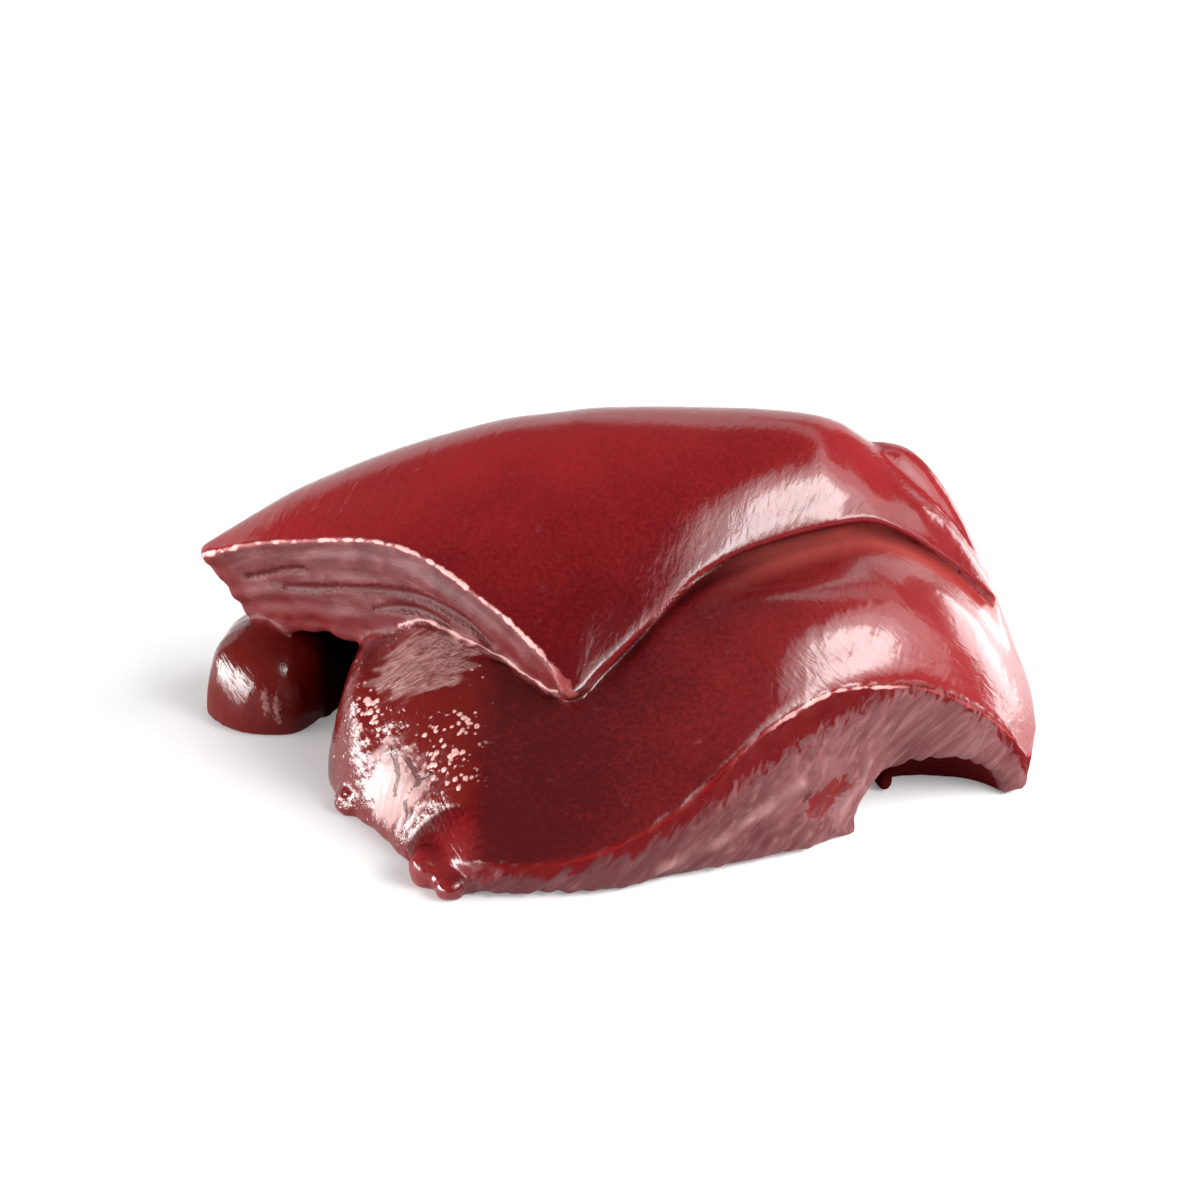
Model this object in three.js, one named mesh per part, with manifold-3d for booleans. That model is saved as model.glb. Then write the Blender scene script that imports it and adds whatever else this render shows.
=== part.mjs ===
// A raw beef liver, cut from the whole organ and folded once. Millimetres, +Z up.
// The lower slab lies on the table, its smooth skin rising from a knife cut in front to a ridge.
// The upper flap folds over that ridge from the back, with a knife cut at its left and a thin
// natural margin at its right, and its left end rests on a small lobe.
// It is one piece of meat, so all of it is fused into one solid.

import * as THREE from "three";
import { mergeVertices } from "three/addons/utils/BufferGeometryUtils.js";
import Module from "manifold-3d";

const wasm = await Module();
wasm.setup();

// Driving dimensions.
const RIB_STEP = 6.5; // the widest step of the mesh along x
const LEAST_STEPS = 3; // mesh steps from one rib to the next, at least
const CUT_STEPS = 4; // mesh steps up a cut face
const SKIN_STEPS = 26; // mesh steps over the skin
const UNDER_STEPS = 8; // mesh steps along the underside
const TABLE_BLOCK = { width: 400, depth: 60 }; // what the table cuts away, so that the base is flat

// The lower slab, as ribs from left to right. Each rib is a slice at one x, in pairs of y, z:
// the foot and the rim of the front cut, then the slope, the fold line, the ridge and the
// shoulder of the skin, and the foot of the back.
const SLAB_RIBS = [
  // x, foot, rim, slope, fold line, ridge, shoulder, back
  [-106, [94, 0], [93, 4], [95, 9], [99, 11], [103, 10], [106, 6], [106, 0]],
  [-97, [73, 0], [72, 7], [81, 25], [95, 40], [108, 42], [150, 26], [166, 0]],
  [-86, [57, 0], [56, 6], [69, 24], [91, 43], [110, 47], [160, 44], [180, 0]],
  [-71, [33, 0], [32, 7], [50, 25], [84, 49], [120, 60], [172, 54], [190, 0]],
  [-52, [13, 0], [11, 14], [37, 33], [80, 50], [135, 72], [185, 60], [198, 0]],
  [-28, [12, 0], [7, 15], [38, 31], [75, 48.5], [145, 80], [192, 62], [198, 0]],
  [-5, [14, 0], [9, 20], [42, 39], [72, 54], [148, 88], [195, 65], [199, 0]],
  [20, [23, 0], [19, 30], [55, 54], [95, 76], [150, 92], [197, 68], [200, 0]],
  [50, [32, 0], [40, 49], [69, 73], [110, 82], [152, 95], [199, 70], [201, 0]],
  [75, [47, 0], [55, 57.5], [76, 79], [121, 84], [160, 96], [200, 72], [201, 0]],
  [95, [74, 0], [63, 55.5], [84, 78], [147, 85], [172, 103], [199, 76], [200, 0]],
  [111, [82, 0], [71, 50], [92, 70], [151, 79], [176, 99.5], [198, 72], [198, 0]],
  [128, [83, 0], [79, 38.5], [103, 56], [149, 64], [173, 78], [191, 54], [193, 0]],
  [141, [85, 0], [87, 25], [107, 38], [132, 45], [156, 52], [177, 33], [182, 3]],
  [149, [88, 3], [92, 13], [108, 25], [128, 32], [145, 34], [163, 23], [170, 9]],
  [154, [108, 15], [109, 17], [115, 20], [124, 23], [133, 23], [141, 20], [144, 16]],
];

// The upper flap, in the same way: the lower and upper rim of its edge, the face, the ridge
// and the shoulder of the skin, the back edge and the middle of the underside.
const FLAP_RIBS = [
  // x, lower rim, upper rim, face, ridge, shoulder, back, underside
  [-157, [161, 60], [159, 63], [160, 64], [162, 65], [165, 64], [166, 62], [164, 60]],
  [-137, [158, 36], [146, 73], [153, 76], [164, 77], [182, 68], [192, 50], [176, 40]],
  [-120, [147, 37], [136, 79], [146, 84], [164, 87], [184, 78], [198, 50], [172, 38]],
  [-79, [117, 42], [112, 87], [136, 97], [167, 103.5], [192, 88], [203, 12], [170, 46]],
  [-43, [90, 50], [86, 73], [125, 101], [165, 115], [197, 92], [206, -4], [160, 52]],
  [-28, [77, 49.5], [74, 63], [121, 101], [164, 117.5], [199, 92], [206, -5], [150, 57]],
  [-16, [65, 49], [63, 52], [119, 102], [164, 119], [200, 92], [206, -5], [140, 60]],
  [-7, [73, 54], [72, 58], [119, 103.5], [164, 120], [200, 92], [206, -5], [140, 64]],
  [29, [102, 78], [101, 83], [125, 110], [164, 120.5], [200, 92], [206, -5], [140, 76]],
  [72, [124, 86], [123, 91], [137, 110.5], [164, 118], [196, 93], [204, 0], [150, 82]],
  [83, [128, 87], [127, 91.5], [141, 104.5], [166, 113.5], [188, 101], [202, 46], [153, 84]],
  [93, [132, 86], [131, 90.5], [144, 99], [166, 105.5], [180, 102], [188, 86], [157, 85]],
  [126, [139, 64], [138, 67.5], [146, 72], [157, 74.5], [163, 73], [167, 69], [152, 66]],
  [141, [142, 50], [141, 52], [143, 53.5], [146, 54], [149, 53], [150, 51], [146, 49]],
];

// Lobes and nodules: centre, radii, how boxy they are, from 0 for an ellipsoid to 1, a turn in
// degrees about the upright and a tilt about the depth.
const LEFT_LOBE = { at: [-129, 163, 3], radii: [33, 24.5, 36], boxy: 0.2, turn: 66 };
const BACK_LOBE = { at: [-98, 187, 12], radii: [34, 18, 34], boxy: 0.1 };
const NODULES = [
  { at: [-60, 26, 4], radii: [9.5, 12, 10], boxy: 0.1 },
  { at: [-66, 23, 6], radii: [7, 8, 8], boxy: 0.1 },
  { at: [-58, 14.5, 3.5], radii: [6, 7, 5.5], boxy: 0.1 },
  { at: [-95, 76, 3], radii: [7.5, 8, 8.5] },
  { at: [97, 94, 3], radii: [3.5, 7, 4.5] },
];
// The hollow under the right end of the slab, where the meat lifts off the table.
const ARCH = { at: [111, 74, 0], radii: [33, 26, 20] };
// The vessel that the knife opened in the front cut.
const VESSEL = { at: [76, 46, 20.5], radii: [11, 5, 4], tilt: -30 };

// A solid for joining and cutting, from a closed geometry.
function solidOf(geometry) {
  const bare = geometry.clone();
  bare.deleteAttribute("normal");
  bare.deleteAttribute("uv");
  const merged = mergeVertices(bare, 1e-4);
  return new wasm.Manifold(
    new wasm.Mesh({
      numProp: 3,
      vertProperties: new Float32Array(merged.attributes.position.array),
      triVerts: new Uint32Array(merged.index.array),
    }),
  );
}

// The geometry of a solid, for a mesh.
function geometryOf(solid) {
  const mesh = solid.getMesh();
  const geometry = new THREE.BufferGeometry();
  geometry.setAttribute("position", new THREE.BufferAttribute(mesh.vertProperties, 3));
  geometry.setIndex(new THREE.BufferAttribute(mesh.triVerts, 1));
  geometry.computeVertexNormals();
  return geometry;
}

// A closed skin over rings of equally many points, with each end closed by a fan.
function skinOver(rings) {
  const around = rings[0].length;
  const points = rings.flat();
  const faces = [];
  for (let i = 0; i + 1 < rings.length; i++) {
    for (let j = 0; j < around; j++) {
      const next = (j + 1) % around;
      const [a, b] = [i * around + j, i * around + next];
      const [c, d] = [a + around, b + around];
      faces.push(a, c, b, b, c, d);
    }
  }
  const lastStart = (rings.length - 1) * around;
  for (const [start, turned] of [[0, false], [lastStart, true]]) {
    const ring = points.slice(start, start + around);
    const middle = points.length;
    points.push(ring.reduce((sum, spot) => sum.add(spot), new THREE.Vector3()).divideScalar(around));
    for (let j = 0; j < around; j++) {
      const [a, b] = [start + j, start + ((j + 1) % around)];
      faces.push(middle, ...(turned ? [b, a] : [a, b]));
    }
  }
  const geometry = new THREE.BufferGeometry().setFromPoints(points);
  geometry.setIndex(faces);
  return geometry;
}

// Rings at small steps through the ribs, each drawn by outline(x, pairs).
function loft(ribs, outline) {
  const places = ribs.map(([x]) => x);
  const pairs = ribs.map(([, ...rest]) => rest.flat());
  const between = new THREE.CubicInterpolant(places, pairs.flat(), pairs[0].length);
  const ringAt = (x) => {
    const values = between.evaluate(x);
    return outline(x, ribs[0].slice(1).map((_, i) => [values[2 * i], values[2 * i + 1]]));
  };
  const rings = [ringAt(places[0])];
  for (let i = 0; i + 1 < places.length; i++) {
    const [start, end] = [places[i], places[i + 1]];
    const steps = Math.max(LEAST_STEPS, Math.ceil((end - start) / RIB_STEP));
    for (let k = 1; k <= steps; k++) rings.push(ringAt(THREE.MathUtils.lerp(start, end, k / steps)));
  }
  return skinOver(rings);
}

// Points along a smooth line through [y, z] pairs at one x, without the last one.
function along(x, pairs, steps) {
  const curve = new THREE.CatmullRomCurve3(
    pairs.map(([y, z]) => new THREE.Vector3(x, y, z)),
    false,
    "centripetal",
  );
  return curve.getSpacedPoints(steps).slice(0, -1);
}

function slabOutline(x, [foot, rim, ...skin]) {
  const back = skin.at(-1);
  return [
    ...along(x, [foot, rim], CUT_STEPS),
    ...along(x, [rim, ...skin], SKIN_STEPS),
    ...along(x, [back, foot], UNDER_STEPS),
  ];
}

function flapOutline(x, [lower, upper, face, ridge, shoulder, back, under]) {
  return [
    ...along(x, [lower, upper], CUT_STEPS),
    ...along(x, [upper, face, ridge, shoulder, back], SKIN_STEPS),
    ...along(x, [back, under, lower], UNDER_STEPS),
  ];
}

// An ellipsoid whose sides are pushed out toward its box.
function lobe({ at, radii, boxy = 0, turn = 0, tilt = 0 }, across = 24, down = 16) {
  const ball = new THREE.SphereGeometry(1, across, down);
  const spots = ball.attributes.position;
  const spot = new THREE.Vector3();
  for (let i = 0; i < spots.count; i++) {
    spot.fromBufferAttribute(spots, i);
    const widest = Math.max(...spot.toArray().map(Math.abs));
    spot.multiplyScalar(1 + boxy * (1 / widest - 1));
    spots.setXYZ(i, ...spot.toArray());
  }
  ball.scale(...radii).rotateY(THREE.MathUtils.degToRad(tilt));
  return ball.rotateZ(THREE.MathUtils.degToRad(turn)).translate(...at);
}

function makeLiver() {
  let meat = solidOf(loft(SLAB_RIBS, slabOutline)).add(solidOf(loft(FLAP_RIBS, flapOutline)));
  for (const hollow of [ARCH, VESSEL]) meat = meat.subtract(solidOf(lobe(hollow)));
  for (const added of [LEFT_LOBE, BACK_LOBE, ...NODULES]) meat = meat.add(solidOf(lobe(added)));
  const { width, depth } = TABLE_BLOCK;
  const table = new THREE.BoxGeometry(width, width, depth).translate(0, width / 4, -depth / 2);
  const geometry = geometryOf(meat.subtract(solidOf(table)));
  const liver = new THREE.Mesh(
    geometry,
    new THREE.MeshStandardMaterial({ color: 0x7a1f23, roughness: 0.28, metalness: 0 }),
  );
  liver.name = "liver";
  // The origin is the middle of the footprint, on the table.
  geometry.computeBoundingBox();
  const middle = geometry.boundingBox.getCenter(new THREE.Vector3());
  liver.position.set(-middle.x, -middle.y, 0);
  return liver;
}

const part = new THREE.Group();
part.add(makeLiver());

export default part;
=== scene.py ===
# %% [markdown]
# # Raw beef liver
#
# The real object is one piece of raw beef liver: a thick slab with a knife cut in front, a flap of
# the same organ folded over it from the back, and small lobes at the left. Its skin is a thin,
# wet, glossy membrane. The knife cuts show the paler flesh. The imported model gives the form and
# the size. This script adds the relief and the finish.

import bpy
import numpy as np
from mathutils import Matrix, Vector, kdtree


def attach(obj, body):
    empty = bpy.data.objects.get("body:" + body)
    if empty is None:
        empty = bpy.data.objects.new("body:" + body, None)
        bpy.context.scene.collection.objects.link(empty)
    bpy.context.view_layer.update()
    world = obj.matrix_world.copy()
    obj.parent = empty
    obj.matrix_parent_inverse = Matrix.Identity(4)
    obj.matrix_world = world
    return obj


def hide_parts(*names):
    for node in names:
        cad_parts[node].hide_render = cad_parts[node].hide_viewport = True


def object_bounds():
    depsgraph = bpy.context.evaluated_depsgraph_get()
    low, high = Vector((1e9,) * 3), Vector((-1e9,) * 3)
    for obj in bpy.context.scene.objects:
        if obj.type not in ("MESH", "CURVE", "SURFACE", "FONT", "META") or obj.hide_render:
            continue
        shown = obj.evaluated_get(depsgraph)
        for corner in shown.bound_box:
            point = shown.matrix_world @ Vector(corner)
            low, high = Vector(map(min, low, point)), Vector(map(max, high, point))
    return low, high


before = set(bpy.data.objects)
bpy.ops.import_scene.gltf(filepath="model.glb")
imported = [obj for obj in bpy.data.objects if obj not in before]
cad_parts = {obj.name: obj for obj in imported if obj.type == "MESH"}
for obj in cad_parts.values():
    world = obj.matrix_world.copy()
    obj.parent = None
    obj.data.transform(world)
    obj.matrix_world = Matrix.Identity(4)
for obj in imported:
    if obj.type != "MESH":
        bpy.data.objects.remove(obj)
cad_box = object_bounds()
MM = 0.001
print("cad box", [[round(c, 4) for c in corner] for corner in cad_box])

# %% [markdown]
# ## The camera
#
# The photograph looks down on the liver at about 25 degrees through a long lens, and the camera
# takes the same place and lens. With the same place and lens, each outline can be compared with
# the photograph as the work goes on, so the camera comes first.

# %% Camera
CAMERA_PLACE = (-0.0051, -1.0858, 0.5751)
CAMERA_TILT = 65.0  # degrees from looking straight down
SENSOR = 36.0  # millimetres, as the lens
LENS = 99.7
FARTHEST_SEEN = 100  # metres

bpy.ops.object.camera_add(location=CAMERA_PLACE, rotation=(np.radians(CAMERA_TILT), 0, 0))
camera = bpy.context.object
camera.name = "photo_camera"
camera.data.sensor_width = SENSOR
camera.data.lens = LENS
camera.data.clip_end = FARTHEST_SEEN
bpy.context.scene.camera = camera
print("camera", camera.name, "lens", LENS, "mm")

# %% [markdown]
# ## The body of meat
#
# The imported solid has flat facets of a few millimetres. Meat is soft, so its copy has its loose
# triangles merged and turned into quads, which a Subdivision Surface rounds. A voxel Remesh then
# gives even faces of about a millimetre all over. Even faces matter here, because relief is
# going to be pushed into them, and the lines of the cuts don't follow the facets.

# %% Copy the solid and round it
MERGED_WITHIN = 0.01 * MM
ROUNDING = 2  # subdivision levels
VOXEL = 1.1 * MM
SOFTENING = {"factor": 0.5, "iterations": 6}  # after the remesh


def work_on(piece):
    bpy.ops.object.select_all(action="DESELECT")
    piece.select_set(True)
    bpy.context.view_layer.objects.active = piece


def apply_modifier(piece, kind, **settings):
    work_on(piece)
    modifier = piece.modifiers.new(kind.lower(), kind)
    for name, value in settings.items():
        setattr(modifier, name, value)
    bpy.ops.object.modifier_apply(modifier=modifier.name)


meat = bpy.data.objects.new("liver_meat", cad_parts["liver"].data.copy())
bpy.context.collection.objects.link(meat)
work_on(meat)
bpy.ops.object.mode_set(mode="EDIT")
bpy.ops.mesh.select_all(action="SELECT")
bpy.ops.mesh.remove_doubles(threshold=MERGED_WITHIN)
bpy.ops.mesh.tris_convert_to_quads()
bpy.ops.object.mode_set(mode="OBJECT")
print("merged copy:", len(meat.data.vertices), "points,", len(meat.data.polygons), "faces")

apply_modifier(meat, "SUBSURF", levels=ROUNDING, render_levels=ROUNDING)
apply_modifier(meat, "REMESH", mode="VOXEL", voxel_size=VOXEL, use_smooth_shade=True)
apply_modifier(meat, "SMOOTH", **SOFTENING)
print("remeshed:", len(meat.data.vertices), "points")

# %% [markdown]
# ## Where the lobes grow together
#
# The solid joins its lobes along sharp valleys. On the real organ one skin runs over them, so the
# valleys are rounded. More smoothing does that, held to the places where the lobes meet by a
# vertex group.

# %% Round the valleys between the lobes
MIDDLE = np.array([-2.1, 106.6, 0.0])  # of the footprint, in millimetres from the front of the cut
JOINTS = [
    # where, reach in millimetres
    ([-62, 25, 12], 11), ([-58, 18, 7], 6), ([-95, 77, 6], 10), ([97, 94, 3], 7),
    ([-130, 148, 36], 8), ([-118, 146, 36], 8),
]
JOINT_SOFTENING = {"factor": 0.6, "iterations": 10}


def spots_of(mesh):
    """The points of a mesh, in the millimetres of the edges."""
    flat = np.empty(len(mesh.vertices) * 3)
    mesh.vertices.foreach_get("co", flat)
    return flat.reshape(-1, 3) / MM + MIDDLE


joints = meat.vertex_groups.new(name="joints")
for centre, reach in JOINTS:
    away = np.linalg.norm(spots_of(meat.data) - centre, axis=1)
    for index in np.flatnonzero(away < reach):
        joints.add([int(index)], float(1 - (away[index] / reach) ** 2), "ADD")
apply_modifier(meat, "SMOOTH", vertex_group="joints", **JOINT_SOFTENING)
meat.vertex_groups.clear()
print("joints rounded:", len(JOINTS))

# %% [markdown]
# ## Rulers for the relief
#
# Every detail lies along an edge that the knife or the fold made. So the edges are written down
# once, as a few points in millimetres, the same ones that shape the solid, and each detail is
# measured from them. A smooth line goes through the points of each edge.

# %% Edges, in millimetres, with y counted from the front of the cut
SLAB_FOOT = [[-97, 73, 0], [-86, 57, 0], [-71, 33, 0], [-52, 13, 0], [-28, 12, 0], [-5, 14, 0],
             [20, 23, 0], [50, 32, 0], [75, 47, 0], [95, 74, 0], [111, 82, 0], [128, 83, 0],
             [141, 85, 0], [149, 88, 3], [154, 108, 15]]
SLAB_RIM = [[-97, 72, 7], [-86, 56, 6], [-71, 32, 7], [-52, 11, 14], [-28, 7, 15], [-5, 9, 20],
            [20, 19, 30], [50, 40, 49], [75, 55, 57.5], [95, 63, 55.5], [111, 71, 50],
            [128, 79, 38.5], [141, 87, 25], [149, 92, 13], [154, 109, 17]]
FLAP_LOWER = [[-157, 161, 60], [-137, 158, 36], [-120, 147, 37], [-79, 117, 42], [-43, 90, 50],
              [-28, 77, 49.5], [-16, 65, 49]]
FLAP_RIM = [[-157, 159, 63], [-137, 146, 73], [-120, 136, 79], [-79, 112, 87], [-43, 86, 73],
            [-28, 74, 63], [-16, 63, 52]]
# The hem is where the flap's lower edge lies on the lobe.
HEM = [[-94, 125, 44.5], [-86.4, 120.3, 49], [-78.6, 114, 54.5], [-72.4, 109.9, 59],
       [-65, 103.4, 59.5], [-57.6, 97.3, 57.7], [-50.2, 93.3, 57.2], [-42.9, 88, 55],
       [-33.9, 80.7, 51.5], [-24.9, 71.9, 48.7], [-17.8, 65.6, 49.5]]
# The margin is the flap's thin edge at the right, over the slab.
FLAP_MARGIN = [[-16, 64, 51], [-7, 72, 56], [29, 101, 81], [72, 123.5, 89], [93, 131.5, 88],
               [126, 138.5, 66], [141, 141.5, 51]]
print("the front cut runs from x", SLAB_RIM[0][0], "to", SLAB_RIM[-1][0])


# %% Smooth lines through the points, and the distance from them
def cubic(x, table):
    """Each column of a table after the first, read at x, along a smooth curve."""
    table = np.asarray(table, float)
    at, values = table[:, 0], table[:, 1:]
    slopes = np.diff(values, axis=0) / np.diff(at)[:, None]
    bend = np.vstack([slopes[:1], (slopes[1:] + slopes[:-1]) / 2, slopes[-1:]])
    x = np.clip(x, at[0], at[-1])
    i = np.clip(np.searchsorted(at, x) - 1, 0, len(at) - 2)
    width = (at[i + 1] - at[i])[:, None]
    t = ((x - at[i]) / (at[i + 1] - at[i]))[:, None]
    start, end = values[i], values[i + 1]
    rise = t * t * (3 - 2 * t)
    return (start + (end - start) * rise
            + width * (bend[i] * t * (1 - t) ** 2 - bend[i + 1] * t * t * (1 - t)))


class Line:
    """A smooth line through points in millimetres, for measuring from."""

    STEP = 0.5

    def __init__(self, points):
        points = np.asarray(points, float)
        length = np.concatenate([[0], np.cumsum(np.linalg.norm(np.diff(points, axis=0), axis=1))])
        self.along = np.arange(0, length[-1], self.STEP)
        self.spots = cubic(self.along, np.column_stack([length, points]))
        self.tree = kdtree.KDTree(len(self.spots))
        for index, spot in enumerate(self.spots):
            self.tree.insert(spot, index)
        self.tree.balance()

    def measure(self, points, reach):
        """For each point, its distance from the line, up to reach, how far along the line it is,
        and the way from the line to it."""
        distance = np.full(len(points), float(reach))
        along = np.zeros(len(points))
        way = np.zeros((len(points), 3))
        low, high = self.spots.min(0) - reach, self.spots.max(0) + reach
        for k in np.flatnonzero(((points > low) & (points < high)).all(1)):
            _, index, gap = self.tree.find(points[k])
            if gap < reach:
                distance[k], along[k] = gap, self.along[index]
                way[k] = points[k] - self.spots[index]
        return distance, along, way


def above_edge(points, low_edge, high_edge):
    """Against the strip between two edges: height above the low one, depth below the high one
    and distance out of the strip, in millimetres."""
    low, high = cubic(points[:, 0], low_edge), cubic(points[:, 0], high_edge)
    up = high - low
    tall = np.linalg.norm(up, axis=1)
    up /= tall[:, None]
    offset = points[:, 1:] - low
    height = (offset * up).sum(1)
    out = -offset[:, 0] * up[:, 1] + offset[:, 1] * up[:, 0]
    return height, tall - height, out


print("rulers ready, with a spot every", Line.STEP, "mm")

# %% [markdown]
# ## Soft steps and lumps
#
# Nothing on soft meat starts at a sharp line. So a mask rises in a smooth step between two
# places, in millimetres, and may fall in another. Unevenness comes from smooth random lumps. The
# numbers of each lump come from its place alone, so every run gives the same meat.

# %% Steps, fades and lumps
SCATTER = np.array([12.9898, 78.233, 37.719])  # these turn a place into a number with no pattern
SCATTER_SIZE = 43758.5453
SEED_SHIFT = 7.31  # how far apart the lumps of two seeds are taken


def ease(value, low, high):
    """0 up to low, 1 from high, and a smooth step between them."""
    t = np.clip((value - low) / (high - low), 0, 1)
    return t * t * (3 - 2 * t)


def span(value, rise, fall):
    """1 between a rise and a fall, which both say where a step starts and ends."""
    return ease(value, *rise) * (1 - ease(value, *fall))


def fade(distance, reach):
    """1 at no distance, falling to about a third at reach."""
    return np.exp(-((distance / reach) ** 2))


def lumps(points, size, seed=0):
    """Smooth random lumps, one every size millimetres or so, from -1 to 1. size may be three
    numbers, for lumps that are longer one way."""
    grid = points / np.asarray(size, float) + seed * SEED_SHIFT
    cell = np.floor(grid)
    t = grid - cell
    t = t * t * (3 - 2 * t)
    total = np.zeros(len(points))
    for corner in np.ndindex(2, 2, 2):
        key = (cell + corner) @ SCATTER + seed
        random = np.modf(np.sin(key) * SCATTER_SIZE)[0]
        total += random * np.prod(np.where(corner, t, 1 - t), axis=1)
    return total


print("half way up a step:", float(ease(0.5, 0, 1)))

# %% [markdown]
# ## Where the knife went
#
# The two cuts are strips between a lower and an upper edge. Each point of the mesh gets a number
# from 0, on the skin, to 1, on cut flesh, and its depth below the rim. They are kept on the mesh
# as attributes, for the relief now and for the colours later.

# %% Mark the cuts
mesh = meat.data
count = len(mesh.vertices)
points = spots_of(mesh)
points[:, 2] = np.maximum(points[:, 2], 0)
normals = np.array([v.vector[:] for v in mesh.vertex_normals])
x, y, z = points.T

BELOW_RIM, ABOVE_FOOT = (-0.6, 0.6), (-2.5, -0.5)  # where the flesh starts, in millimetres
OUT_OF_PLANE = (2.6, 4.1)  # how far from the strip the flesh reaches, and where it ends
FACES_FRONT = (-0.1, 0.25)  # the back of the thin parts, which faces away, isn't cut
SLAB_CUT_ENDS = (-60, -46), (151, 154)
FLAP_CUT_ENDS = (-158, -157), (-20, -15)


def strip(low_edge, high_edge, ends):
    """How much each point is cut flesh, its depth below the rim, its height above the foot and
    how far it is out of the plane of the cut."""
    height, depth, out = above_edge(points, low_edge, high_edge)
    inside = ease(depth, *BELOW_RIM) * ease(height, *ABOVE_FOOT)
    inside *= (1 - ease(np.abs(out), *OUT_OF_PLANE)) * span(x, *ends)
    return inside * ease(-normals[:, 1] - normals[:, 2] * 0.3, *FACES_FRONT), depth, height, out


slab_cut, slab_depth, _, slab_out = strip(SLAB_FOOT, SLAB_RIM, SLAB_CUT_ENDS)
flap_cut, flap_depth, flap_height, _ = strip(FLAP_LOWER, FLAP_RIM, FLAP_CUT_ENDS)
print("points on the slab's cut:", int((slab_cut > 0.5).sum()))
print("points on the flap's cut:", int((flap_cut > 0.5).sum()))

# %% [markdown]
# ## The flap, the slab and the lobes
#
# One skin covers the whole liver, but the flap, the slab and the lobes have slightly different
# reds, and the crumpled film covers only the lobe at the left of the slab. Painting by hand would
# be lost with each change of the mesh, so each region is a soft mask, worked out from the edges
# and from the place of each point.

# %% The flap and the slab
ABOVE_HEM, BEHIND_HEM = (-1.5, 0.5), (-4, -2)  # where the flap starts
SKIRT_LIFTS = (-4, 5, 6)  # from the cut's foot up to the end of the flap's skin, left of the hem

hem_x, _, hem_z = np.array(HEM).T
rim_y = cubic(hem_x, np.array(FLAP_RIM)[:, :2])[:, 0]
hem_edge = np.column_stack([hem_x, rim_y, hem_z]).tolist()
skirt = [
    [low[0], rim[1], low[2] + lift] for low, rim, lift in zip(FLAP_LOWER, FLAP_RIM, SKIRT_LIFTS)
]
edge_of_flap = cubic(x, skirt + hem_edge + FLAP_MARGIN[1:])
flap = ease(z - edge_of_flap[:, 1], *ABOVE_HEM) * ease(y - edge_of_flap[:, 0], *BEHIND_HEM)
slab = 1 - flap
behind = ease(y, 140, 185)
print("flap:", int((flap > 0.5).sum()), "of", count, "points")

# %% The lobes
LOBE_CREST = [[28, -51], [33, -50], [50, -49.5], [75, -46], [100, -48]]  # y, x
FILM_END = [[-80, 35], [-74, 36.5], [-69, 36], [-61, 33], [-51, 28], [-40, 28]]  # x, y
CREST_SOFT, CREST_UNEVEN = 6, 2  # millimetres to each side

left_of_crest = cubic(y, LOBE_CREST)[:, 0] - x + CREST_UNEVEN * lumps(points, 4, 21)
film_lobe = ease(left_of_crest, -CREST_SOFT, CREST_SOFT) * slab
film_lobe *= ease(y - cubic(x, FILM_END)[:, 0], -0.7, 0.7)
film_lobe *= (1 - ease(y, 110, 125)) * ease(x, -106, -102)
small_lobe = slab * ease(y, 112, 120) * ease(-x, 84 - 30 * behind, 90)
print("film lobe:", int((film_lobe > 0.5).sum()), "points")
print("small lobes:", int((small_lobe > 0.5).sum()), "points")

# %% Painted light and shade on the red of the skin
# Painted light and shade: lighter on the flap's back, the slab's right end and its back, and
# darker towards the flap's front.
slab_painted_light = np.maximum(0.3 * ease(x, -30, 30) + 0.7 * ease(x, 20, 105), behind)
painted_light_and_shade = flap * ease(y - 0.1 * x, 72, 165) + slab * slab_painted_light
# Painted light on the slab's left foot, and painted shade on the skin in front of the flap's tip.
painted_light_and_shade += 0.6 * (1 - ease(y, 18, 34)) * (1 - ease(x, -56, -44))
painted_light_and_shade *= 1 - 0.6 * slab * (1 - behind) * fade(x + 10, 22) * ease(z, 28, 44)
print("the red goes from", round(float(painted_light_and_shade.min()), 2), "to", round(float(painted_light_and_shade.max()), 2))

# %% [markdown]
# ## Patches and short lines
#
# The veil of film, the taut film, the opened vessel and the torn flesh are patches with a ragged
# edge. The crevices, veins, cracks and creases are short lines, placed where the photograph shows
# them on the surface. A texture could hold them all, but a few numbers for each are easier to
# change, and stay sharp from near by.

# %% Patches
PATCH_EDGE = (0.75, 1.1)  # from full to gone, in radii of the patch
PATCHES = {
    # where, how far it reaches each way, how far it is turned, and how ragged its edge is
    "veil": ([-70, 92, 50], [21, 18, 14], 25, 0.25),
    # where the painted glints on the film crowd
    "taut film": ([-78, 56, 20], [16, 19, 14], 0, 0.3),
    "specks beside it": ([-60, 54, 36], [14, 22, 11], 40, 0.3),
    "specks above it": ([-88, 80, 34], [9, 14, 8], 0, 0.3),
    "opened vessel": ([74, 48, 20], [14, 12, 9], 0, 0),
    "red of the vessel": ([72.5, 50, 19], [14.5, 20, 4.8], 25, 0.1),
    "torn flesh": ([62.5, 42, 21], [6.5, 12, 4], 30, 0.3),
    "between the lobes": ([-103, 165, 10], [14, 36, 60], 0, 0),
}


def patch(name):
    """1 inside a soft ellipsoid, turned in the plane of the picture, with a ragged edge."""
    centre, radii, turn, ragged = PATCHES[name]
    away = points - centre
    turn = np.radians(turn)
    across = away[:, 0] * np.cos(turn) + away[:, 2] * np.sin(turn)
    up = away[:, 2] * np.cos(turn) - away[:, 0] * np.sin(turn)
    size = np.linalg.norm(np.column_stack([across, away[:, 1], up]) / radii, axis=1)
    return 1 - ease(size + ragged * lumps(points, 3, 31), *PATCH_EDGE)


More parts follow.
